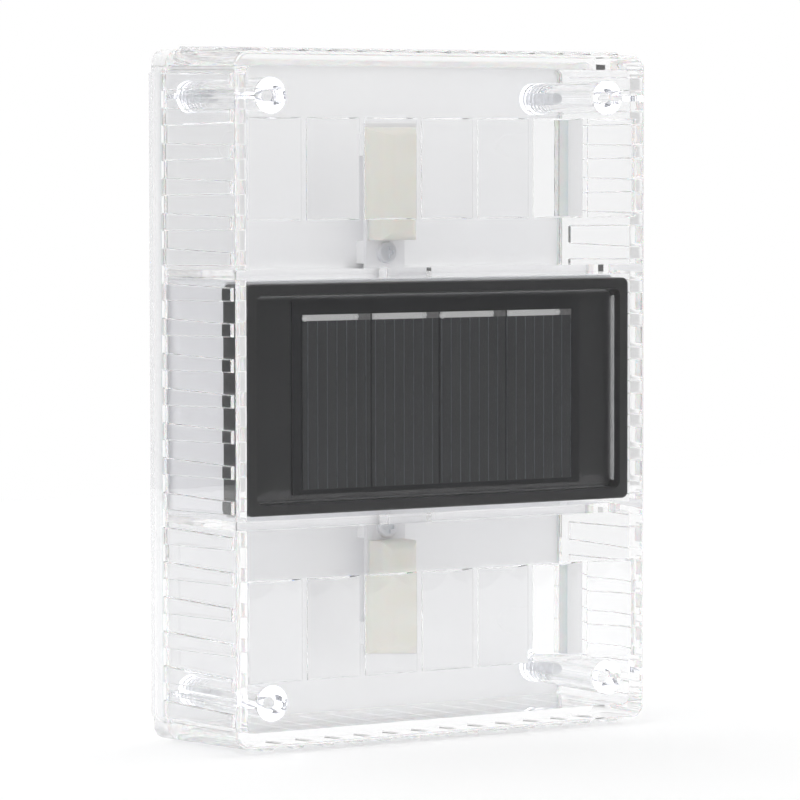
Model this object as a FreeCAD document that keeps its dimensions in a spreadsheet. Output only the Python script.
"""Solar fence light: a clear ribbed box with a solar module across its middle.

Millimetres. +Z is up, the light faces -Y, and the origin is the centre of the face that lies on
the fence. A "depth" below is always measured from the front face towards the fence.
"""
import FreeCAD, Part
import math
import os
import re

doc = FreeCAD.newDocument("fence_light")

# ---------------------------------------------------------------------------------------------
# Driving dimensions
# ---------------------------------------------------------------------------------------------
SIZES = [
    # clear cover
    ("front_width", 85.0, "width of the cover's front face"),
    ("front_height", 118.0, "height of the cover's front face"),
    ("cover_depth", 27.0, "front face to fence"),
    ("wall_draft", 1.5, "outward slope of the side walls, in degrees"),
    ("front_wall", 2.0, "thickness of the front wall"),
    ("side_wall", 2.6, "thickness of the side walls at the front"),
    ("inner_draft", 0.8, "outward slope of the inside of the walls, in degrees"),
    ("corner_round", 2.5, "radius of the four long corners"),
    ("edge_round", 0.7, "radius round the front face"),
    ("inner_round", 1.2, "radius of the long corners inside"),
    # ribs outside the walls
    ("rib_pitch", 6.0, "distance from rib to rib"),
    ("rib_width", 2.3, "width of a rib at its front end"),
    ("rib_draft", 1.0, "slope of each side of a rib, in degrees"),
    ("rib_height", 0.5, "how far a rib stands out of the wall"),
    ("rib_start", 0.9, "depth of a rib's front end"),
    ("rib_end_round", 0.42, "radius at a rib's front end"),
    ("rib_edge_round", 0.28, "radius along a rib's two long edges"),
    ("side_ribs", 19, "number of ribs on each long side"),
    ("end_ribs", 13, "number of ribs on the top and on the bottom"),
    ("band_depth", 4.0, "depth of the raised band round the back edge"),
    # fluted lenses in the front wall
    ("lens_margin", 1.55, "edge of the front face to a row of flutes"),
    ("flute_count", 7, "number of flutes in a row"),
    ("flute_radius", 18.0, "radius of a flute's curved face"),
    ("flute_gap", 1.1, "width of the flat strip between two flutes"),
    ("flute_step", 0.15, "how far a flute's side edges stand out of the front face"),
    ("lens_height", 17.6, "height of a row of flutes"),
    ("lens_inset", 19.9, "edge of the front face to the centre of a row"),
    ("lens_end_slope", 0.4, "how much taller a row is at its foot than at its crest, on each side"),
    # partitions, bosses and screws of the cover
    ("partition_gap", 0.7, "gap between the solar tray's edge and a partition at the front"),
    ("partition_thickness", 1.7, "thickness of a partition at the front"),
    ("partition_draft", 0.6, "slope of each side of a partition, in degrees"),
    ("board_notch_gap", 0.6, "gap round a lamp board where it passes a partition"),
    ("screw_inset", 7.5, "edge of the front face to a screw's axis"),
    ("boss_radius", 3.05, "radius of a screw boss at the front"),
    ("boss_draft", 0.5, "slope of a boss, in degrees"),
    ("thread_gap", 0.05, "gap round a screw's shank in the bore that it bites into"),
    ("boss_blind", 2.0, "solid end of a boss behind the front wall"),
    ("fin_thickness", 1.1, "thickness of the fin that ties a boss to the side wall"),
    ("screw_shank", 1.05, "radius of a cover screw's shank"),
    ("screw_length", 10.0, "length of a cover screw under its head"),
    ("screw_head", 2.75, "radius of a cover screw's head"),
    ("screw_head_depth", 1.1, "height of a cover screw's head"),
    ("driver_slot", 0.7, "width of the cross slots in the screw heads"),
    ("screw_crown", 0.4, "radius round the top of a screw's head"),
    # rear cover and seal
    ("plate_thickness", 2.0, "thickness of the rear cover"),
    ("plate_step", 1.3, "width of the step that the rear cover's seal lies on"),
    ("plate_clearance", 0.15, "gap round the rear cover"),
    ("plate_round", 2.2, "radius of the rear cover's corners"),
    ("seal_thickness", 1.0, "thickness of the seal"),
    ("seal_margin", 0.15, "gap at each edge of the seal"),
    ("screw_clearance", 0.5, "gap round a screw's shank in the rear cover"),
    ("head_clearance", 0.35, "gap round a screw's head in the rear cover"),
    ("head_sink", 1.2, "how deep a screw's head is let into the rear cover"),
    # hanging holes
    ("hanger_inset", 10.5, "edge of the front face to a hanging hole's axis"),
    ("hanger_drop", 5.0, "how far the entries lie below the centre"),
    ("hanger_entry", 4.0, "radius of the round entry for a screw's head"),
    ("hanger_slot", 2.1, "half the width of the slot for a screw's shank"),
    ("hanger_travel", 6.0, "entry's centre to the top end's centre"),
    ("hanger_pocket", 4.2, "room behind the plate for a screw's head"),
    ("hanger_wall", 1.2, "wall of the closed pocket behind a hanging hole"),
    ("hanger_room", 0.3, "gap round a screw's head in its pocket"),
    # power button
    ("button_height", 8.5, "height of the power button above the centre"),
    ("button_radius", 3.5, "radius of the power button"),
    ("button_gap", 0.06, "gap round the button where it slides"),
    ("button_recess", 7.0, "radius of the dish round the button"),
    ("dish_depth", 0.6, "depth of the dish round the button"),
    ("button_shy", 0.3, "how far the button stays below the fence face"),
    ("button_travel", 1.2, "how far the button is pressed"),
    ("button_flange", 0.8, "how far the button's flange stands out behind the plate"),
    ("flange_thickness", 0.9, "thickness of the button's flange"),
    ("button_round", 0.5, "radius round the button's top"),
    ("seal_ring_height", 0.7, "height of the button's seal ring"),
    ("seal_ring_width", 0.75, "width of the button's seal ring"),
    ("seal_ring_depth", 0.3, "plate's inner face to the seal ring"),
    # solar module
    ("tray_height", 39.3, "height of the solar tray"),
    ("tray_depth", 4.5, "depth of the solar tray"),
    ("tray_clearance", 0.15, "gap between the tray and the side walls"),
    ("tray_gap", 0.05, "gap between the front wall and the tray"),
    ("tray_round", 1.2, "radius of the tray's corners"),
    ("tray_edge", 0.35, "radius round the tray's front"),
    ("tray_rim", 1.9, "width of the tray's flat rim"),
    ("tray_recess", 2.8, "depth of the tray's recess"),
    ("recess_slope", 0.35, "how much the recess narrows to its floor on each side"),
    ("backing_width", 60.0, "width of the board under the cells"),
    ("backing_height", 33.0, "height of the board under the cells"),
    ("backing_thickness", 0.5, "thickness of the board under the cells"),
    ("cell_pitch", 14.1, "distance from cell to cell"),
    ("cell_gap", 0.3, "gap between two cells"),
    ("cell_count", 4, "number of cells"),
    ("cell_height", 29.9, "height of a cell"),
    ("cell_thickness", 0.25, "thickness of a cell"),
    ("cell_drop", 0.7, "how far the cells lie below the module's centre"),
    ("cell_shift", 0.5, "how far the cells lie to the right of the module's centre"),
    ("ribbon_length", 11.2, "length of the bright solder ribbon on a cell"),
    ("ribbon_width", 1.05, "height of the solder ribbons"),
    ("ribbon_thickness", 0.15, "thickness of the solder ribbons"),
    ("resin_below_rim", 1.75, "tray's rim to the resin's surface"),
    # housing of the battery and the circuit board
    ("housing_wall", 1.5, "wall of the inner housing"),
    ("housing_clearance", 0.35, "gap between the housing and what is round it"),
    ("housing_round", 1.0, "radius of the housing's long corners"),
    ("post_radius", 2.2, "radius of the posts under the circuit board"),
    ("saddle_width", 2.0, "width of a battery saddle"),
    ("saddle_height", 3.6, "height of a battery saddle"),
    ("saddle_side", 14.0, "distance of the battery saddles from the middle"),
    ("battery_radius", 5.2, "radius of the battery"),
    ("battery_length", 43.3, "length of the battery without its stud"),
    ("battery_drop", 9.3, "how far the battery lies below the centre"),
    ("battery_rest", 0.3, "gap between the battery and the housing's floor"),
    ("battery_stud", 1.9, "radius of the battery's stud"),
    ("stud_length", 1.0, "length of the battery's stud"),
    ("contact_thickness", 0.4, "thickness of the battery contacts"),
    ("contact_width", 6.4, "width of the battery contacts"),
    ("contact_wall", 1.2, "thickness of the walls behind the battery contacts"),
    ("contact_gap", 0.05, "gap between a contact and what it touches"),
    ("spring_radius", 2.8, "mean radius of the battery spring"),
    ("spring_wire", 0.6, "thickness of the battery spring's wire"),
    ("spring_length", 5.0, "length of the battery spring in place"),
    ("spring_turns", 4, "number of turns of the battery spring"),
    # circuit board and what is on it
    ("board_width", 62.0, "width of the circuit board"),
    ("board_height", 17.4, "height of the circuit board"),
    ("board_centre", 9.3, "height of the circuit board's centre"),
    ("board_thickness", 1.6, "thickness of the circuit board"),
    ("board_room", 6.4, "circuit board's back to the rear cover"),
    ("board_screw_inset", 3.0, "edge of the circuit board to its screws"),
    ("board_screw_head", 1.9, "radius of the board screws' heads"),
    ("board_screw_shank", 0.8, "radius of the board screws' shanks"),
    ("board_screw_length", 5.0, "length of the board screws under the head"),
    ("board_hole_gap", 0.2, "gap round a screw in a circuit board"),
    ("lower_post_side", 16.0, "distance of the lower posts from the middle"),
    ("board_head_depth", 1.0, "height of the board screws' heads"),
    ("switch_side", 7.0, "side of the switch"),
    ("switch_depth", 4.0, "height of the switch on the board"),
    ("plunger_radius", 1.5, "radius of the switch's plunger"),
    ("plunger_inside", 1.6, "length of the plunger inside the switch"),
    ("chip_length", 5.0, "length of the controller chip"),
    ("chip_width", 4.0, "width of the controller chip's body"),
    ("chip_depth", 1.6, "height of the controller chip"),
    ("coil_radius", 3.0, "radius of the inductor"),
    ("coil_depth", 4.2, "height of the inductor"),
    ("capacitor_radius", 2.5, "radius of the capacitor"),
    ("capacitor_depth", 5.2, "height of the capacitor"),
    ("part_spacing", 10.5, "distance between the parts on the board"),
    ("resistor_length", 2.0, "length of a chip resistor"),
    ("resistor_width", 1.25, "width of a chip resistor"),
    ("resistor_depth", 0.5, "height of a chip resistor"),
    # lamps
    ("lamp_board_width", 8.0, "width of a lamp board"),
    ("lamp_board_thickness", 1.0, "thickness of a lamp board"),
    ("lamp_room", 3.8, "lamp board's back to the rear cover"),
    ("lamp_tongue", 4.75, "how far a lamp board reaches inside its partition"),
    ("lamp_board_reach", 7.9, "centre of a row of flutes to a lamp board's outer end"),
    ("diffuser_clear", 4.45, "partition's front end to a diffuser's inner end"),
    ("diffuser_reach", 7.2, "centre of a row of flutes to a diffuser's outer end"),
    ("diffuser_width", 7.2, "width of a diffuser"),
    ("diffuser_depth", 5.4, "depth of a diffuser"),
    ("diffuser_wall", 0.8, "wall of a diffuser"),
    ("diffuser_round", 1.6, "radius of a diffuser's long edges"),
    ("led_width", 2.8, "width of a light-emitting chip"),
    ("led_height", 3.5, "height of a light-emitting chip"),
    ("led_depth", 0.8, "depth of a light-emitting chip"),
    ("led_margin", 0.6, "wall of a diffuser's end to the nearest light-emitting chip"),
    ("led_count", 3, "number of light-emitting chips on a board"),
    ("rest_width", 6.0, "width of the blocks that a lamp board rests on"),
    ("rest_height", 4.0, "height of the blocks that a lamp board rests on"),
    ("lamp_screw_clear", 2.25, "partition's front end to a lamp board's screw"),
    ("far_rest_inset", 3.0, "diffuser's outer end to the middle of a lamp board's far block"),
    ("lamp_screw_length", 4.2, "length of a lamp board's screw under its head"),
    # leads
    ("lead_radius", 0.5, "radius of the leads"),
    ("lead_spacing", 3.0, "distance between the two leads of a pair"),
    ("lead_hole_gap", 0.3, "gap round a lead in a wall"),
    ("lead_bend", 1.3, "radius of the bends of the leads"),
    ("lead_landing", 1.4, "circuit board's lower edge to the ends of the leads"),
    ("lead_run_gap", 1.3, "rear cover to the axis of the lower lamp's leads"),
    ("lamp_pin_inset", 1.2, "lamp board's inner end to its leads"),
    ("solar_lead_height", 12.0, "height of the solar leads above the centre"),
    ("solar_lead_side", 20.0, "distance of the solar leads from the middle"),
]

size = {}
dims = doc.addObject("Spreadsheet::Sheet", "dims")
for row, (alias, value, meaning) in enumerate(SIZES, start=1):
    dims.set(f"A{row}", alias)
    dims.set(f"B{row}", str(value))
    dims.set(f"C{row}", meaning)
    dims.setAlias(f"B{row}", alias)
    size[alias] = value
doc.recompute()

# ---------------------------------------------------------------------------------------------
# Formulas that several pieces share, written with the names of the sheet
# ---------------------------------------------------------------------------------------------
wall_flare = "cover_depth * tan(wall_draft)"
inside_width = "(front_width - 2 * side_wall)"
inside_height = "(front_height - 2 * side_wall)"
plate_depth = "(cover_depth - plate_thickness)"
ledge_depth = f"({plate_depth} - seal_thickness)"
inner_flare = f"({plate_depth} * tan(inner_draft))"
step_width = f"({inside_width} + 2 * {inner_flare} + 2 * plate_step)"
step_height = f"({inside_height} + 2 * {inner_flare} + 2 * plate_step)"
tray_width = f"({inside_width} - 2 * tray_clearance)"
tray_front = "(front_wall + tray_gap)"
recess_floor = f"({tray_front} + tray_recess)"
cell_face = f"({recess_floor} - backing_thickness - cell_thickness)"
partition_inside = "(tray_height / 2 + partition_gap)"
housing_front = f"({tray_front} + tray_depth + tray_gap)"
housing_floor = f"({housing_front} + housing_wall)"
housing_width = f"({inside_width} - 2 * housing_clearance)"
housing_height = f"(2 * {partition_inside} - 2 * housing_clearance)"
housing_back = f"({plate_depth} - tray_gap)"
screw_x = "(front_width / 2 - screw_inset)"
screw_z = "(front_height / 2 - screw_inset)"
board_back = f"({plate_depth} - board_room)"
board_front = f"({board_back} - board_thickness)"
board_screw_x = "(board_width / 2 - board_screw_inset)"
switch_top = f"({board_back} + switch_depth)"
flange_front = f"({plate_depth} - tray_gap - flange_thickness)"
battery_depth = f"({housing_floor} + battery_rest + battery_radius)"
head_seat = "(cover_depth - head_sink)"
lens_z = "(front_height / 2 - lens_inset)"
flute_pitch = "((front_width - 2 * lens_margin) / flute_count)"
partition_outside = f"({partition_inside} + partition_thickness)"
lamp_board_back = f"({plate_depth} - lamp_room)"
lamp_board_front = f"({lamp_board_back} - lamp_board_thickness)"
lamp_board_inner = f"({partition_inside} - lamp_tongue)"
lamp_board_outer = f"({lens_z} + lamp_board_reach)"
diffuser_inner = f"({partition_outside} + diffuser_clear)"
diffuser_outer = f"({lens_z} + diffuser_reach)"
lamp_middle = f"(({diffuser_inner} + {diffuser_outer}) / 2)"
led_pitch = (f"(({diffuser_outer} - {diffuser_inner} - 2 * (diffuser_wall + led_margin) - led_height)"
             " / (led_count - 1))")
lamp_screw_z = f"({partition_outside} + lamp_screw_clear)"
far_rest_z = f"({diffuser_outer} - far_rest_inset)"
hanger_x = "(front_width / 2 - hanger_inset)"

WORD = re.compile(r"[a-z]+(?:_[a-z]+)+")


def bound(formula):
    """The formula with the sheet's name put before each of the sheet's own words."""
    return WORD.sub(lambda m: "dims." + m.group() if m.group() in size else m.group(), str(formula))


def behind(depth):
    """The Y of a depth behind the front face."""
    return f"({depth}) - cover_depth"


def place(item, x, y, z):
    for axis, formula in zip("xyz", (x, y, z)):
        item.setExpression(f"Placement.Base.{axis}", bound(formula))


def tie(item, **formulas):
    for name, formula in formulas.items():
        item.setExpression(name, bound(formula))
    return item


# ---------------------------------------------------------------------------------------------
# Small makers: each gives one object whose sizes are bound to the sheet
# ---------------------------------------------------------------------------------------------
def block(name, x, depth, z, width, length, height):
    """A box centred on x and z, from a depth behind the front face on towards the fence."""
    item = doc.addObject("Part::Box", name)
    tie(item, Length=width, Width=length, Height=height)
    place(item, f"({x}) - ({width}) / 2", behind(depth), f"({z}) - ({height}) / 2")
    return item


def drafted(name, x, depth, z, length, front, back):
    """A block whose front end and back end differ in (width, height), centred on x and z."""
    item = doc.addObject("Part::Wedge", name)
    tie(item, Ymin="0", Ymax=length)
    tie(item, Xmin=f"-({front[0]}) / 2", Xmax=f"({front[0]}) / 2")
    tie(item, Zmin=f"-({front[1]}) / 2", Zmax=f"({front[1]}) / 2")
    tie(item, X2min=f"-({back[0]}) / 2", X2max=f"({back[0]}) / 2")
    tie(item, Z2min=f"-({back[1]}) / 2", Z2max=f"({back[1]}) / 2")
    place(item, x, behind(depth), z)
    return item


ALONG_X = FreeCAD.Rotation(FreeCAD.Vector(0, 1, 0), 90)
ALONG_Y = FreeCAD.Rotation(FreeCAD.Vector(1, 0, 0), -90)
ALONG_Z = FreeCAD.Rotation()


def rod(name, x, depth, z, radius, length, direction=ALONG_Y):
    item = doc.addObject("Part::Cylinder", name)
    tie(item, Radius=radius, Height=length)
    item.Placement.Rotation = direction
    place(item, x, behind(depth), z)
    return item


def tapered_rod(name, x, depth, z, front_radius, back_radius, length):
    item = doc.addObject("Part::Cone", name)
    tie(item, Radius1=front_radius, Radius2=back_radius, Height=length)
    item.Placement.Rotation = ALONG_Y
    place(item, x, behind(depth), z)
    return item


def joined(name, items):
    item = doc.addObject("Part::MultiFuse", name)
    item.Shapes = items
    return item


def grouped(name, items):
    item = doc.addObject("Part::Compound", name)
    item.Links = items
    return item


def without(name, base, tool):
    item = doc.addObject("Part::Cut", name)
    item.Base = base
    item.Tool = tool
    return item


def overlap(name, base, tool):
    item = doc.addObject("Part::Common", name)
    item.Base = base
    item.Tool = tool
    return item


def rounded(name, base, *rules):
    """Rounds the edges that each rule picks: a rule is (size's name, test of an edge)."""
    doc.recompute()
    item = doc.addObject("Part::Fillet", name)
    item.Base = base
    edges = []
    for number, edge in enumerate(base.Shape.Edges, start=1):
        for radius, test in rules:
            if test(edge):
                edges.append((number, size[radius], size[radius]))
                break
    item.Edges = edges
    return item


def runs_along(axis):
    """A test for straight edges that run nearly along the axis x, y or z."""
    def test(edge):
        first, last = edge.Vertexes[0].Point, edge.Vertexes[-1].Point
        step = last - first
        return step.Length > 1e-6 and abs(getattr(step, axis)) > 0.95 * step.Length
    return test


def lies_at(axis, value):
    """A test for edges that lie wholly at one coordinate."""
    def test(edge):
        return all(abs(getattr(vertex.Point, axis) - value) < 1e-4 for vertex in edge.Vertexes)
    return test


def finished(item, name):
    """Marks an object as a finished piece: its label names the piece and its file."""
    item.Label = name
    pieces.append(item)
    return item


pieces = []


# ---------------------------------------------------------------------------------------------
# Front cover: clear box with ribs, fluted lenses, partitions and screw bosses
# ---------------------------------------------------------------------------------------------
def cover_outline():
    back = (f"front_width + 2 * {wall_flare}", f"front_height + 2 * {wall_flare}")
    shape = drafted("cover_block", 0, 0, 0, "cover_depth", ("front_width", "front_height"), back)
    front_edge = lies_at("y", -size["cover_depth"])
    return rounded("cover_rounded", shape, ("corner_round", runs_along("y")), ("edge_round", front_edge))


def rib_bar(name, position, upright):
    """A bar right across the box: its two ends stand out of the walls as ribs."""
    length = "cover_depth - rib_start"
    across = "front_height" if upright else "front_width"
    front_reach = f"{across} + 2 * (rib_height + rib_start * tan(wall_draft))"
    back_reach = f"{across} + 2 * (rib_height + {wall_flare})"
    back_width = f"rib_width + 2 * ({length}) * tan(rib_draft)"
    if upright:
        return drafted(name, position, "rib_start", 0, length, ("rib_width", front_reach),
                       (back_width, back_reach))
    return drafted(name, 0, "rib_start", position, length, (front_reach, "rib_width"),
                   (back_reach, back_width))


def ribs():
    level = [rib_bar(f"level_bar_{k + 1}", f"rib_pitch * ({k} - (side_ribs - 1) / 2)", False)
             for k in range(size["side_ribs"])]
    upright = [rib_bar(f"upright_bar_{k + 1}", f"rib_pitch * ({k} - (end_ribs - 1) / 2)", True)
               for k in range(size["end_ribs"])]
    front_end = size["rib_start"] - size["cover_depth"]
    rounded_bars = []
    for bars, side_axis in ((level, "z"), (upright, "x")):
        for bar in bars:
            tip = lambda edge: (lies_at("y", front_end)(edge) and runs_along(side_axis)(edge))
            rounded_bars.append(rounded(bar.Name + "_rounded", bar, ("rib_end_round", tip),
                                        ("rib_edge_round", runs_along("y"))))
    return rounded_bars


def rear_band():
    """The raised band round the back edge, as high as the ribs and open at the corners."""
    rib_back = "(rib_width + 2 * (cover_depth - rib_start) * tan(rib_draft))"
    side_reach = f"(rib_pitch * (side_ribs - 1) + {rib_back})"
    end_reach = f"(rib_pitch * (end_ribs - 1) + {rib_back})"
    start = "cover_depth - band_depth"
    width = f"front_width + 2 * (rib_height + {wall_flare})"
    height = f"front_height + 2 * (rib_height + {wall_flare})"
    front_width = "front_width + 2 * (rib_height + (cover_depth - band_depth) * tan(wall_draft))"
    front_height = "front_height + 2 * (rib_height + (cover_depth - band_depth) * tan(wall_draft))"
    side = drafted("band_sides", 0, start, 0, "band_depth", (front_width, side_reach), (width, side_reach))
    end = drafted("band_ends", 0, start, 0, "band_depth", (end_reach, front_height), (end_reach, height))
    return [side, end]


def lens_row(name, z):
    """A row of upright flutes that bulge out of the front face, with flat strips between them."""
    width = f"({flute_pitch} - flute_gap)"
    crest = f"(flute_radius - sqrt(flute_radius ^ 2 - ({width} / 2) ^ 2) + flute_step)"
    curved, frames = [], []
    for k in range(size["flute_count"]):
        x = f"{flute_pitch} * ({k} - (flute_count - 1) / 2)"
        curved.append(rod(f"{name}_flute_{k + 1}", x, f"flute_radius - {crest}", f"({z}) - lens_height",
                          "flute_radius", "2 * lens_height", ALONG_Z))
        frames.append(drafted(f"{name}_frame_{k + 1}", x, f"-{crest}", z, f"{crest} + front_wall / 2",
                              (width, "lens_height - 2 * lens_end_slope"),
                              (width, "lens_height + lens_end_slope")))
    return overlap(name, joined(f"{name}_flutes", curved), grouped(f"{name}_frames", frames))


def boss_places():
    return [(side, end, f"{side} * {screw_x}", f"{end} * {screw_z}") for side in (-1, 1) for end in (-1, 1)]


def cover_cavity():
    depth_inside = "cover_depth - front_wall + 1"
    flare = f"2 * ({depth_inside}) * tan(inner_draft)"
    hollow = drafted("cavity", 0, "front_wall", 0, depth_inside, (inside_width, inside_height),
                     (f"{inside_width} + {flare}", f"{inside_height} + {flare}"))
    hollow = rounded("cavity_rounded", hollow, ("inner_round", runs_along("y")))
    step = block("plate_seat", 0, ledge_depth, 0, step_width, "cover_depth", step_height)
    step = rounded("plate_seat_rounded", step, ("plate_round", runs_along("y")))
    return joined("cover_hollow", [hollow, step])


def partition(name, side):
    """The web between the lamp room and the middle bay, notched for the lamp board."""
    start = "front_wall / 2"
    length = f"{ledge_depth} - {start}"
    thin = f"partition_thickness - 2 * ({length}) * tan(partition_draft)"
    wide = f"{inside_width} + side_wall"
    centre = f"{side} * ({partition_inside} + partition_thickness / 2)"
    web = drafted(name, 0, start, centre, length, (wide, "partition_thickness"), (wide, thin))
    notch = block(name + "_notch", 0, f"{lamp_board_front} - board_notch_gap", centre,
                  "lamp_board_width + 2 * board_notch_gap", "cover_depth", "2 * partition_thickness")
    return without(name + "_notched", web, notch)


def front_cover():
    outside = joined("cover_outside", [cover_outline()] + ribs() + rear_band()
                     + [lens_row("upper_lens", lens_z), lens_row("lower_lens", f"-{lens_z}")])
    shell = without("cover_shell", outside, cover_cavity())
    start = "front_wall / 2"
    length = f"({plate_depth} - {start})"
    inside = [partition("upper_partition", 1), partition("lower_partition", -1)]
    bores = []
    for side, end, x, z in boss_places():
        mark = f"{'left' if side < 0 else 'right'}_{'lower' if end < 0 else 'upper'}"
        back_radius = f"boss_radius - {length} * tan(boss_draft)"
        inside.append(tapered_rod(f"boss_{mark}", x, start, z, "boss_radius", back_radius, length))
        reach = f"(screw_inset - side_wall / 2)"
        fin_back = f"fin_thickness - {length} * tan(boss_draft)"
        inside.append(drafted(f"fin_{mark}", f"{side} * ({screw_x} + {reach} / 2)", start, z,
                              f"{ledge_depth} - {start}", (reach, "fin_thickness"), (reach, fin_back)))
        bores.append(rod(f"bore_{mark}", x, "front_wall + boss_blind", z,
                         "screw_shank + thread_gap", "cover_depth"))
    filled = joined("cover_filled", [shell] + inside)
    return without("front_cover", filled, joined("cover_bores", bores))


finished(front_cover(), "front_cover")


# ---------------------------------------------------------------------------------------------
# Rear cover, its seal and its screws
# ---------------------------------------------------------------------------------------------
def rear_cover():
    plate = block("plate", 0, plate_depth, 0, f"{step_width} - 2 * plate_clearance", "plate_thickness",
                  f"{step_height} - 2 * plate_clearance")
    plate = rounded("plate_rounded", plate, ("plate_round", runs_along("y")))
    added = [plate]
    holes = []
    entry_z = "-hanger_drop"
    pocket_centre = "hanger_travel / 2 - hanger_drop"
    room_width = "2 * (hanger_entry + hanger_room)"
    room_height = "2 * (hanger_entry + hanger_room) + hanger_travel"
    for mark, side in (("left", -1), ("right", 1)):
        x = f"{side} * {hanger_x}"
        added.append(block(f"pocket_{mark}", x, f"{plate_depth} - hanger_pocket - hanger_wall", pocket_centre,
                           f"{room_width} + 2 * hanger_wall", "hanger_pocket + hanger_wall + plate_thickness / 2",
                           f"{room_height} + 2 * hanger_wall"))
        holes.append(block(f"pocket_room_{mark}", x, f"{plate_depth} - hanger_pocket", pocket_centre,
                           room_width, "hanger_pocket", room_height))
        start = f"{plate_depth} - hanger_pocket / 2"
        holes.append(rod(f"entry_{mark}", x, start, entry_z, "hanger_entry", "cover_depth"))
        holes.append(rod(f"slot_end_{mark}", x, start, "hanger_travel - hanger_drop", "hanger_slot",
                         "cover_depth"))
        holes.append(block(f"slot_{mark}", x, start, pocket_centre, "2 * hanger_slot", "cover_depth",
                           "hanger_travel"))
    for mark, side in (("upper", 1), ("lower", -1)):
        for spot, z in (("near", lamp_screw_z), ("far", far_rest_z)):
            added.append(block(f"rest_{mark}_{spot}", 0, lamp_board_back, f"{side} * {z}", "rest_width",
                               f"{plate_depth} + plate_thickness / 2 - {lamp_board_back}", "rest_height"))
        holes.append(rod(f"rest_bore_{mark}", 0, f"{lamp_board_back} - 1", f"{side} * {lamp_screw_z}",
                         "board_screw_shank + thread_gap", f"{plate_depth} + 1 - {lamp_board_back}"))
    for side, end, x, z in boss_places():
        mark = f"{'left' if side < 0 else 'right'}_{'lower' if end < 0 else 'upper'}"
        holes.append(rod(f"screw_hole_{mark}", x, f"{plate_depth} - 1", z, "screw_shank + screw_clearance",
                         "cover_depth"))
        holes.append(rod(f"head_seat_{mark}", x, head_seat, z, "screw_head + head_clearance", "cover_depth"))
    holes.append(rod("button_hole", 0, f"{plate_depth} - 1", "button_height", "button_radius + button_gap",
                     "cover_depth"))
    holes.append(rod("button_dish", 0, "cover_depth - dish_depth", "button_height", "button_recess",
                     "cover_depth"))
    holes.append(rod("ring_groove", 0, f"{plate_depth} + seal_ring_depth", "button_height",
                     "button_radius + button_gap + seal_ring_width", "seal_ring_height"))
    return without("rear_cover", joined("rear_added", added), joined("rear_holes", holes))


def rear_seal():
    """A flat ring on the step, under the rear cover's edge."""
    inner_width = f"{inside_width} + 2 * {inner_flare} + 2 * seal_margin"
    inner_height = f"{inside_height} + 2 * {inner_flare} + 2 * seal_margin"
    outer = block("seal_outer", 0, ledge_depth, 0, f"{step_width} - 2 * seal_margin", "seal_thickness",
                  f"{step_height} - 2 * seal_margin")
    outer = rounded("seal_outer_rounded", outer, ("plate_round", runs_along("y")))
    inner = block("seal_inner", 0, f"{ledge_depth} - 1", 0, inner_width, "seal_thickness + 2", inner_height)
    inner = rounded("seal_inner_rounded", inner, ("inner_round", runs_along("y")))
    return without("rear_seal", outer, inner)


def pan_screw(name, x, z, seat, shank, length, head, head_depth, head_first=False):
    """A pan-head screw with a cross recess; its head faces the fence, or the front if head_first."""
    if head_first:
        stem_start, cap_start, cut_start = seat, f"{seat} - {head_depth}", f"{seat} - 1.5 * {head_depth}"
    else:
        stem_start, cap_start, cut_start = f"{seat} - {length}", seat, f"{seat} + {head_depth} / 2"
    stem = rod(name + "_shank", x, stem_start, z, shank, length)
    cap = rod(name + "_cap", x, cap_start, z, head, head_depth)
    doc.recompute()
    top = cap.Shape.BoundBox.YMin if head_first else cap.Shape.BoundBox.YMax
    cap = rounded(name + "_head", cap, ("screw_crown", lies_at("y", top)))
    cuts = [block(f"{name}_slot_{turn + 1}", x, cut_start, z, wide, head_depth, tall)
            for turn, (wide, tall) in enumerate((("driver_slot", f"1.1 * {head}"),
                                                 (f"1.1 * {head}", "driver_slot")))]
    return without(name, joined(name + "_blank", [stem, cap]), joined(name + "_recess", cuts))


def cover_screws():
    screws = []
    for side, end, x, z in boss_places():
        mark = f"{'left' if side < 0 else 'right'}_{'lower' if end < 0 else 'upper'}"
        screws.append(pan_screw(f"cover_screw_{mark}", x, z, head_seat, "screw_shank", "screw_length",
                                "screw_head", "screw_head_depth"))
    return grouped("cover_screws", screws)


finished(rear_cover(), "rear_cover")
finished(rear_seal(), "rear_seal")
finished(cover_screws(), "cover_screws")


# ---------------------------------------------------------------------------------------------
# Solar module: black tray, backing board, cells, solder ribbons, clear resin
# ---------------------------------------------------------------------------------------------
def recess_block(name):
    opening = (f"{tray_width} - 2 * tray_rim", "tray_height - 2 * tray_rim")
    floor = (f"{tray_width} - 2 * (tray_rim + recess_slope)", "tray_height - 2 * (tray_rim + recess_slope)")
    hollow = drafted(name, 0, tray_front, 0, "tray_recess", opening, floor)
    return rounded(name + "_rounded", hollow, ("tray_round", runs_along("y")))


def lead_places():
    return [(mark, f"{side} * lead_spacing / 2") for mark, side in (("left", -1), ("right", 1))]


def solar_tray():
    outer = block("tray_block", 0, tray_front, 0, tray_width, "tray_depth", "tray_height")
    doc.recompute()
    front = outer.Shape.BoundBox.YMin
    outer = rounded("tray_rounded", outer, ("tray_round", runs_along("y")), ("tray_edge", lies_at("y", front)))
    holes = [recess_block("tray_recess_block")]
    for mark, offset in lead_places():
        holes.append(rod(f"tray_hole_{mark}", f"{offset} - solar_lead_side", tray_front, "solar_lead_height",
                         "lead_radius + lead_hole_gap", "2 * tray_depth"))
    return without("solar_tray", outer, joined("tray_holes", holes))


def cell_left(k):
    """X of the left edge of a cell."""
    return f"(cell_shift + cell_pitch * ({k} - cell_count / 2) + cell_gap / 2)"


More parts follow.
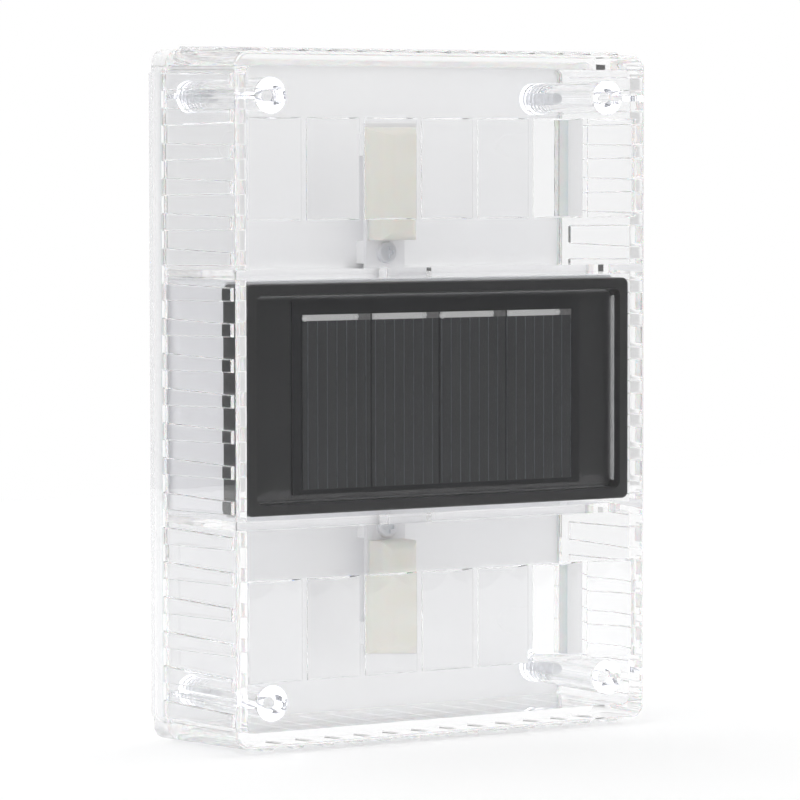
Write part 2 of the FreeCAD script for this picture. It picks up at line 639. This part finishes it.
def solar_pieces():
    """The backing board, the cells, the solder ribbons on them and the links between them."""
    backing = block("cell_backing", "cell_shift", f"{recess_floor} - backing_thickness", 0, "backing_width",
                    "backing_thickness", "backing_height")
    width = "(cell_pitch - cell_gap)"
    ribbon_z = "cell_height / 2 - cell_drop - ribbon_width / 2"
    ribbon_depth = f"{cell_face} - ribbon_thickness"
    cells, ribbons, links = [], [], []
    for k in range(size["cell_count"]):
        left = cell_left(k)
        cells.append(block(f"cell_{k + 1}", f"{left} + {width} / 2", cell_face, "-cell_drop", width,
                           "cell_thickness", "cell_height"))
        ribbons.append(block(f"ribbon_{k + 1}", f"{left} + ribbon_length / 2", ribbon_depth, ribbon_z,
                             "ribbon_length", "ribbon_thickness", "ribbon_width"))
        links.append(block(f"link_{k + 1}", f"{left} + ({width} + ribbon_length) / 2", ribbon_depth,
                           ribbon_z, f"{width} - ribbon_length", "ribbon_thickness", "ribbon_width"))
    return backing, grouped("solar_cells", cells), grouped("cell_ribbons", ribbons), grouped("cell_links", links)


def solar_resin(embedded):
    body = overlap("resin_block", recess_block("resin_recess"),
                   block("resin_level", 0, f"{tray_front} + resin_below_rim", 0, "front_width",
                         "tray_recess", "front_height"))
    return without("solar_resin", body, joined("resin_inside", embedded))


finished(solar_tray(), "solar_tray")
module = solar_pieces()
for part in module:
    finished(part, part.Name)
finished(solar_resin(list(module)), "solar_resin")


# ---------------------------------------------------------------------------------------------
# Inner housing with the battery
# ---------------------------------------------------------------------------------------------
battery_z = "-battery_drop"
spring_end = "(battery_length / 2 + 2 * contact_gap + spring_length)"
stud_end = "(battery_length / 2 + stud_length + contact_gap)"
contact_spots = [("plus", 1, stud_end), ("minus", -1, spring_end)]
board_screw_z = "(board_centre + board_height / 2 - board_screw_inset)"
lower_post_z = "(board_centre - board_height / 2 + board_screw_inset)"


def inner_housing():
    outer = block("housing_block", 0, housing_front, 0, housing_width, f"{housing_back} - {housing_front}",
                  housing_height)
    outer = rounded("housing_rounded", outer, ("housing_round", runs_along("y")))
    hollow = block("housing_hollow", 0, housing_floor, 0, f"{housing_width} - 2 * housing_wall",
                   "cover_depth", f"{housing_height} - 2 * housing_wall")
    start = f"{housing_floor} - housing_wall / 2"
    inside, cuts = [], []
    for mark, side in (("left", -1), ("right", 1)):
        inside.append(rod(f"upper_post_{mark}", f"{side} * {board_screw_x}", start, board_screw_z,
                          "post_radius", f"{board_front} - ({start})"))
        inside.append(rod(f"lower_post_{mark}", f"{side} * lower_post_side", start, lower_post_z,
                          "post_radius", f"{board_front} - ({start})"))
        inside.append(block(f"saddle_{mark}", f"{side} * saddle_side", start, battery_z, "saddle_width",
                            "saddle_height", "1.6 * battery_radius"))
        cuts.append(rod(f"upper_post_bore_{mark}", f"{side} * {board_screw_x}", housing_floor, board_screw_z,
                        "board_screw_shank + thread_gap", "cover_depth"))
    for mark, side, reach in contact_spots:
        inside.append(block(f"{mark}_wall", f"{side} * ({reach} + contact_thickness + contact_gap"
                            " + contact_wall / 2)", start, battery_z, "contact_wall",
                            f"{battery_depth} + contact_width / 2 - ({start})", "contact_width"))
    cuts.append(rod("battery_room", "-battery_length / 2", battery_depth, battery_z,
                    "battery_radius + contact_gap", "battery_length", ALONG_X))
    for mark, offset in lead_places():
        cuts.append(rod(f"housing_hole_{mark}", f"{offset} - solar_lead_side", f"{housing_front} - 1",
                        "solar_lead_height", "lead_radius + lead_hole_gap", "housing_wall + 2"))
    cuts.append(block("housing_notch", 0, f"{lamp_board_front} - board_notch_gap", 0,
                      "lamp_board_width + 2 * board_notch_gap", "cover_depth", "front_height"))
    shell = without("housing_shell", outer, hollow)
    return without("inner_housing", joined("housing_filled", [shell] + inside), joined("housing_cuts", cuts))


def battery():
    cell = rod("battery_case", "-battery_length / 2", battery_depth, battery_z, "battery_radius",
               "battery_length", ALONG_X)
    cell = rounded("battery_case_rounded", cell, ("button_round", lambda edge: edge.Curve.TypeId
                                                  == "Part::GeomCircle"))
    stud = rod("battery_stud_rod", "battery_length / 2 - 1", battery_depth, battery_z, "battery_stud",
               "stud_length + 1", ALONG_X)
    return joined("battery", [cell, stud])


def battery_contacts():
    return grouped("battery_contacts", [
        block(f"contact_{mark}", f"{side} * ({reach} + contact_thickness / 2)",
              f"{battery_depth} - contact_width / 2", battery_z, "contact_thickness", "contact_width",
              "contact_width") for mark, side, reach in contact_spots])


def arc_between(start, corner, end):
    """The arc from start to end whose tangents meet at the corner."""
    cosine = (corner - start).normalize().dot((end - corner).normalize())
    weight = math.sqrt((1 + cosine) / 2)
    middle = (start + end + corner * 2 * weight) / (2 + 2 * weight)
    return Part.Arc(start, middle, end).toShape()


def coil_wire(radius, length, turns):
    """A helix about Z from pairs of arcs, each pair a quarter turn."""
    climb = length / (2 * math.pi * turns)

    def spot(angle):
        return FreeCAD.Vector(radius * math.cos(angle), radius * math.sin(angle), climb * angle)

    def heading(angle):
        return FreeCAD.Vector(-radius * math.sin(angle), radius * math.cos(angle), climb).normalize()

    arcs = []
    quarter = math.pi / 2
    for k in range(4 * turns):
        start, end = spot(k * quarter), spot((k + 1) * quarter)
        leave, arrive = heading(k * quarter), heading((k + 1) * quarter)
        span = end - start
        slope = span.dot(leave + arrive)
        spread = 2 * (1 - leave.dot(arrive))
        reach = (math.sqrt(slope ** 2 + spread * span.dot(span)) - slope) / spread
        first, second = start + leave * reach, end - arrive * reach
        meeting = (first + second) / 2
        arcs.append(arc_between(start, first, meeting))
        arcs.append(arc_between(meeting, second, end))
    return Part.Wire(arcs)


def battery_spring():
    """One unbroken coil of wire between the battery's flat end and its contact."""
    wire = dims.spring_wire / 2
    path = coil_wire(dims.spring_radius, dims.spring_length - 2 * wire, int(dims.spring_turns))
    start = path.Edges[0]
    section = Part.Wire(Part.makeCircle(wire, start.valueAt(start.FirstParameter),
                                        start.tangentAt(start.FirstParameter)))
    pipe = Part.BRepOffsetAPI.MakePipeShell(path)
    pipe.add(section)
    pipe.build()
    pipe.makeSolid()
    item = doc.addObject("Part::Feature", "battery_spring")
    item.Shape = pipe.shape()
    item.Placement.Rotation = ALONG_X
    place(item, f"spring_wire / 2 - {spring_end} + contact_gap", behind(battery_depth), battery_z)
    print("battery spring: gap between turns",
          round((dims.spring_length - 2 * wire) / dims.spring_turns - 2 * wire, 2), "mm")
    return item


finished(inner_housing(), "inner_housing")
finished(battery(), "battery")
finished(battery_contacts(), "battery_contacts")
finished(battery_spring(), "battery_spring")


# ---------------------------------------------------------------------------------------------
# Circuit board and the parts on it
# ---------------------------------------------------------------------------------------------
def main_board():
    board = block("board_blank", 0, board_front, "board_centre", "board_width", "board_thickness",
                  "board_height")
    holes = [rod(f"board_hole_{mark}", f"{side} * {board_screw_x}", f"{board_front} - 1", board_screw_z,
                 "board_screw_shank + board_hole_gap", "board_thickness + 2")
             for mark, side in (("left", -1), ("right", 1))]
    return without("main_board", board, joined("board_holes", holes))


def board_screws():
    return grouped("board_screws", [
        pan_screw(f"board_screw_{mark}", f"{side} * {board_screw_x}", board_screw_z, board_back,
                  "board_screw_shank", "board_screw_length", "board_screw_head", "board_head_depth")
        for mark, side in (("left", -1), ("right", 1))])


def controller_chip():
    x = "-part_spacing"
    body = block("chip_body", x, board_back, "board_centre", "chip_width", "chip_depth", "chip_length")
    legs = [block(f"chip_leg_{k + 1}", x, board_back, f"board_centre + chip_length * ({k} - 1.5) / 4",
                  "1.5 * chip_width", "chip_depth / 2", "chip_length / 12") for k in range(4)]
    return joined("controller_chip", [body] + legs)


def inductor():
    x = "part_spacing"
    flange = "coil_depth / 5"
    return joined("inductor", [
        rod("coil_core", x, board_back, "board_centre", "0.8 * coil_radius", "coil_depth"),
        rod("coil_foot", x, board_back, "board_centre", "coil_radius", flange),
        rod("coil_cap", x, f"{board_back} + 4 * {flange}", "board_centre", "coil_radius", flange)])


def capacitor():
    can = rod("capacitor_can", "2 * part_spacing", board_back, "board_centre", "capacitor_radius",
              "capacitor_depth")
    doc.recompute()
    return rounded("capacitor", can, ("button_round", lies_at("y", can.Shape.BoundBox.YMax)))


def resistors():
    return grouped("resistors", [
        block(f"resistor_{k + 1}", "-2 * part_spacing", board_back, f"board_centre + 2 * resistor_width * {k}",
              "resistor_length", "resistor_depth", "resistor_width") for k in (-1, 0, 1)])


def switch_body():
    body = block("switch_block", 0, board_back, "button_height", "switch_side", "switch_depth", "switch_side")
    bore = rod("switch_bore", 0, f"{switch_top} - plunger_inside - button_travel - lead_hole_gap",
               "button_height", "plunger_radius + button_gap", "switch_depth")
    return without("switch_body", body, bore)


finished(main_board(), "main_board")
finished(board_screws(), "board_screws")
finished(controller_chip(), "controller_chip")
finished(inductor(), "inductor")
finished(capacitor(), "capacitor")
finished(resistors(), "resistors")
finished(switch_body(), "switch_body")


# ---------------------------------------------------------------------------------------------
# Power button: it slides through the rear cover and presses the switch's plunger
# ---------------------------------------------------------------------------------------------
def power_button():
    top = "(cover_depth - button_shy)"
    stem = rod("button_stem", 0, flange_front, "button_height", "button_radius", f"{top} - {flange_front}")
    doc.recompute()
    stem = rounded("button_stem_rounded", stem, ("button_round", lies_at("y", stem.Shape.BoundBox.YMax)))
    flange = rod("button_flange_disc", 0, flange_front, "button_height", "button_radius + button_flange",
                 "flange_thickness")
    return joined("power_button", [stem, flange])


def button_seal():
    radius = "button_radius + button_gap"
    start = f"{plate_depth} + seal_ring_depth"
    outer = rod("ring_outer", 0, start, "button_height", f"{radius} + seal_ring_width", "seal_ring_height")
    inner = rod("ring_inner", 0, f"{start} - 1", "button_height", radius, "seal_ring_height + 2")
    return without("button_seal", outer, inner)


finished(power_button(), "power_button")
finished(rod("switch_plunger", 0, f"{switch_top} - plunger_inside", "button_height", "plunger_radius",
             f"{flange_front} - {switch_top} + plunger_inside"), "switch_plunger")
finished(button_seal(), "button_seal")


# ---------------------------------------------------------------------------------------------
# Lamps: one behind each row of lenses
# ---------------------------------------------------------------------------------------------
def lamp_board(mark, side):
    height = f"({lamp_board_outer} - {lamp_board_inner})"
    board = block(f"lamp_blank_{mark}", 0, lamp_board_front, f"{side} * ({lamp_board_inner} + {height} / 2)",
                  "lamp_board_width", "lamp_board_thickness", height)
    hole = rod(f"lamp_hole_{mark}", 0, f"{lamp_board_front} - 1", f"{side} * {lamp_screw_z}",
               "board_screw_shank + board_hole_gap", "lamp_board_thickness + 2")
    return without(f"lamp_board_{mark}", board, hole)


def lamp_chips(mark, side):
    return grouped(f"lamp_chips_{mark}", [
        block(f"led_{mark}_{k + 1}", 0, f"{lamp_board_front} - led_depth",
              f"{side} * {lamp_middle} + {led_pitch} * ({k} - (led_count - 1) / 2)", "led_width", "led_depth",
              "led_height") for k in range(size["led_count"])])


def diffuser(mark, side):
    height = f"({diffuser_outer} - {diffuser_inner})"
    z = f"{side} * {lamp_middle}"
    front = f"{lamp_board_front} - diffuser_depth"
    outer = block(f"diffuser_block_{mark}", 0, front, z, "diffuser_width", "diffuser_depth", height)
    doc.recompute()
    edge_y = outer.Shape.BoundBox.YMin
    outer = rounded(f"diffuser_rounded_{mark}", outer, ("diffuser_round", lies_at("y", edge_y)))
    hollow = block(f"diffuser_hollow_{mark}", 0, f"{front} + diffuser_wall", z,
                   "diffuser_width - 2 * diffuser_wall", "diffuser_depth", f"{height} - 2 * diffuser_wall")
    return without(f"diffuser_{mark}", outer, hollow)


for mark, side in (("upper", 1), ("lower", -1)):
    finished(lamp_board(mark, side), f"lamp_board_{mark}")
    finished(lamp_chips(mark, side), f"lamp_chips_{mark}")
    finished(diffuser(mark, side), f"diffuser_{mark}")
finished(grouped("lamp_screws", [
    pan_screw(f"lamp_screw_{mark}", 0, f"{side} * {lamp_screw_z}", lamp_board_front, "board_screw_shank",
              "lamp_screw_length", "board_screw_head", "board_head_depth", head_first=True)
    for mark, side in (("upper", 1), ("lower", -1))]), "lamp_screws")


# ---------------------------------------------------------------------------------------------
# Leads
# ---------------------------------------------------------------------------------------------
landing_z = "(board_centre - board_height / 2 + lead_landing)"
run_depth = f"({plate_depth} - lead_run_gap)"


def elbow(name, x, depth, z, start_angle):
    """A quarter bend in the plane of Y and Z about a centre."""
    item = doc.addObject("Part::Torus", name)
    tie(item, Radius1="lead_bend", Radius2="lead_radius")
    item.Angle3 = 90
    turn = FreeCAD.Rotation(FreeCAD.Vector(1, 0, 0), start_angle)
    item.Placement.Rotation = turn.multiply(ALONG_X)
    place(item, x, behind(depth), z)
    return item


def solar_leads():
    return grouped("solar_leads", [
        rod(f"solar_lead_{mark}", f"{offset} - solar_lead_side", recess_floor, "solar_lead_height",
            "lead_radius", f"{board_front} - {recess_floor}") for mark, offset in lead_places()])


def battery_leads():
    """Up from each battery contact, then back to the circuit board's front."""
    depth = f"({battery_depth} - contact_width / 4)"
    start = f"({battery_z} + contact_width / 2)"
    leads = []
    for mark, side, reach in contact_spots:
        x = f"{side} * ({reach} + contact_thickness / 2)"
        leads.append(joined(f"battery_lead_{mark}", [
            rod(f"battery_rise_{mark}", x, depth, start, "lead_radius",
                f"{landing_z} - lead_bend - {start}", ALONG_Z),
            elbow(f"battery_bend_{mark}", x, f"{depth} + lead_bend", f"{landing_z} - lead_bend", 180),
            rod(f"battery_end_{mark}", x, f"{depth} + lead_bend", landing_z, "lead_radius",
                f"{board_front} - {depth} - lead_bend")]))
    return grouped("battery_leads", leads)


def lamp_leads():
    """Straight pins to the upper lamp; leads over the battery to the lower lamp."""
    foot_z = f"({lamp_board_inner} + lamp_pin_inset)"
    leads = []
    for mark, x in lead_places():
        leads.append(rod(f"upper_pin_{mark}", x, board_back, foot_z, "lead_radius",
                         f"{lamp_board_front} - {board_back}"))
        leads.append(joined(f"lower_lead_{mark}", [
            rod(f"lower_foot_{mark}", x, lamp_board_back, f"-{foot_z}", "lead_radius",
                f"{run_depth} - lead_bend - {lamp_board_back}"),
            elbow(f"lower_bend_{mark}", x, f"{run_depth} - lead_bend", f"lead_bend - {foot_z}", 0),
            rod(f"lower_run_{mark}", x, run_depth, f"lead_bend - {foot_z}", "lead_radius",
                f"{landing_z} + {foot_z} - 2 * lead_bend", ALONG_Z),
            elbow(f"upper_bend_{mark}", x, f"{run_depth} - lead_bend", f"{landing_z} - lead_bend", 90),
            rod(f"lower_end_{mark}", x, board_back, landing_z, "lead_radius",
                f"{run_depth} - lead_bend - {board_back}")]))
    return grouped("lamp_leads", leads)


finished(solar_leads(), "solar_leads")
finished(battery_leads(), "battery_leads")
finished(lamp_leads(), "lamp_leads")


# ---------------------------------------------------------------------------------------------
# Check every object, then write one file for each piece
# ---------------------------------------------------------------------------------------------
doc.recompute()
for item in doc.Objects:
    if "Invalid" in item.State or "Error" in item.State:
        raise RuntimeError(f"{item.Name} failed: {item.State}")
os.makedirs("parts", exist_ok=True)
for item in pieces:
    if item.Shape.isNull() or not item.Shape.isValid():
        raise RuntimeError(f"{item.Label} has no valid shape")
    item.Shape.exportStep(f"parts/{item.Label}.step")
    print(f"{item.Label}: {len(item.Shape.Solids)} solid(s), {item.Shape.Volume:.1f} mm3")
